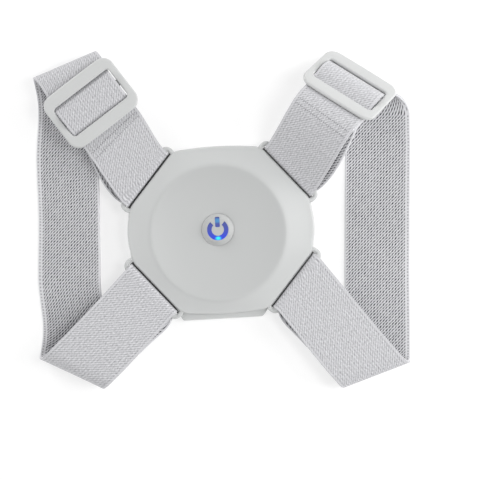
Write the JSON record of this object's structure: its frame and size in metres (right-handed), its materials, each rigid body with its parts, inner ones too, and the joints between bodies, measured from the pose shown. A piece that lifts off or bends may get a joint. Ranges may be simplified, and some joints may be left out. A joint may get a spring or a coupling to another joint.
{
  "type": "posture corrector",
  "caption": "Round-cornered plastic housing with a shallow dish and a power key, and elastic arm loops with tri-glide buckles, lying flat.",
  "frame": {"origin": "centre of the flat back of the housing, in the plane that the part lies on", "axes": "+X right across the housing, +Y up it towards the buckles, +Z out of its face"},
  "size_m": [0.2244, 0.2032, 0.0396],
  "materials": {
    "housing_plastic": "pale grey moulded plastic, satin",
    "back_plastic": "pale grey moulded plastic, fine matt",
    "key_plastic": "pale grey moulded plastic, satin",
    "symbol_light": "clear blue, lit from behind",
    "buckle_plastic": "pale grey moulded plastic, satin",
    "webbing": "woven elastic, fine lengthwise ribs on its face and an open mesh of stitches on its inside"
  },
  "bodies": {
    "corrector": {"housing_front": "housing_plastic", "housing_back": "back_plastic", "left_buckle": "buckle_plastic", "right_buckle": "buckle_plastic", "left_strap": "webbing", "right_strap": "webbing"},
    "key": {"power_button": "key_plastic", "symbol_ring": "symbol_light", "symbol_bar": "symbol_light"}
  },
  "joints": [
    {"name": "key_press", "type": "slide", "parent": "corrector", "child": "key", "axis": [0, 0, -1], "range_m": [0, 0.0005], "stiffness_N_per_m": 1500, "springref_m": -0.0003}
  ]
}
